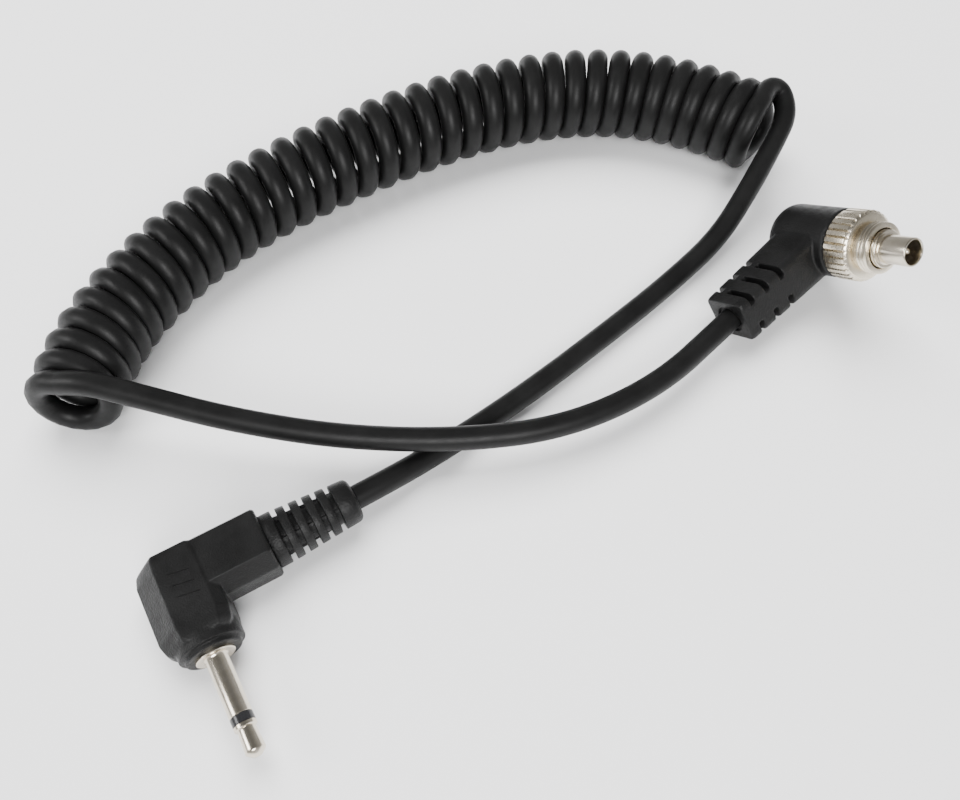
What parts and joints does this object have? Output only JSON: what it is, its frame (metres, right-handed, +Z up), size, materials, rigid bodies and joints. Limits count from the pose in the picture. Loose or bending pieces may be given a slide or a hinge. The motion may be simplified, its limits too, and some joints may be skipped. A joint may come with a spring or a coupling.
{
  "type": "coiled flash sync cord",
  "caption": "Coiled camera sync cord with a right-angle miniature jack plug at one end and a right-angle coaxial sync plug with a knurled screw-lock ring at the other.",
  "frame": {"origin": "under the middle of the box round the two plugs, on the surface the cord lies on", "axes": "+Z up from the surface; +X along the longer side of the box round the two plugs, towards the sync plug; +Y towards the coil"},
  "size_m": [0.1102, 0.0994, 0.0169],
  "materials": {
    "housing": "fine-grained moulded black PVC",
    "cord": "matt, slightly greasy black jacket",
    "nickel": "turned, nickel plated, slightly warm",
    "ring_nickel": "nickel plated, knurled and threaded",
    "insulator": "moulded black band",
    "dark_insulator": "dark insulating plug",
    "inner_mould": "unpigmented inner mould",
    "brass_lug": "stamped brass",
    "copper_wire": "bare copper strands",
    "wire_insulation": "insulated inner wire",
    "solder": "soft solder",
    "spring_steel": "spring steel clip"
  },
  "bodies": {
    "cord": {"jack_housing": "housing", "jack_strain_relief": "housing", "jack_inner_mould": "inner_mould", "jack_sleeve": "nickel", "jack_insulator": "insulator", "jack_tip": "nickel", "jack_rear_washer": "insulator", "jack_ground_lug": "brass_lug", "jack_tip_lug": "brass_lug", "jack_core_wire": "wire_insulation", "jack_drain_wire": "copper_wire", "jack_solder": "solder", "jack_lead": "cord", "curly_cord": "cord", "pc_lead": "cord", "pc_housing": "housing", "pc_inner_mould": "inner_mould", "pc_body": "nickel", "pc_sleeve": "nickel", "pc_insulator": "dark_insulator", "pc_pin": "nickel", "pc_ground_lug": "brass_lug", "pc_core_wire": "wire_insulation", "pc_drain_wire": "copper_wire", "pc_solder": "solder"},
    "snap_ring": {"pc_snap_ring": "spring_steel"},
    "lock_ring": {"pc_lock_ring": "ring_nickel"}
  },
  "joints": [
    {"name": "lock_ring_float", "type": "slide", "parent": "cord", "child": "snap_ring", "axis": [0.4604, -0.6404, 0.6148], "range_m": [0, 0.0008]},
    {"name": "lock_ring_spin", "type": "hinge", "parent": "snap_ring", "child": "lock_ring", "pos_m": [0.03749, 0.0297, 0.00622], "axis": [0.4604, -0.6404, 0.6148], "continuous": true}
  ]
}
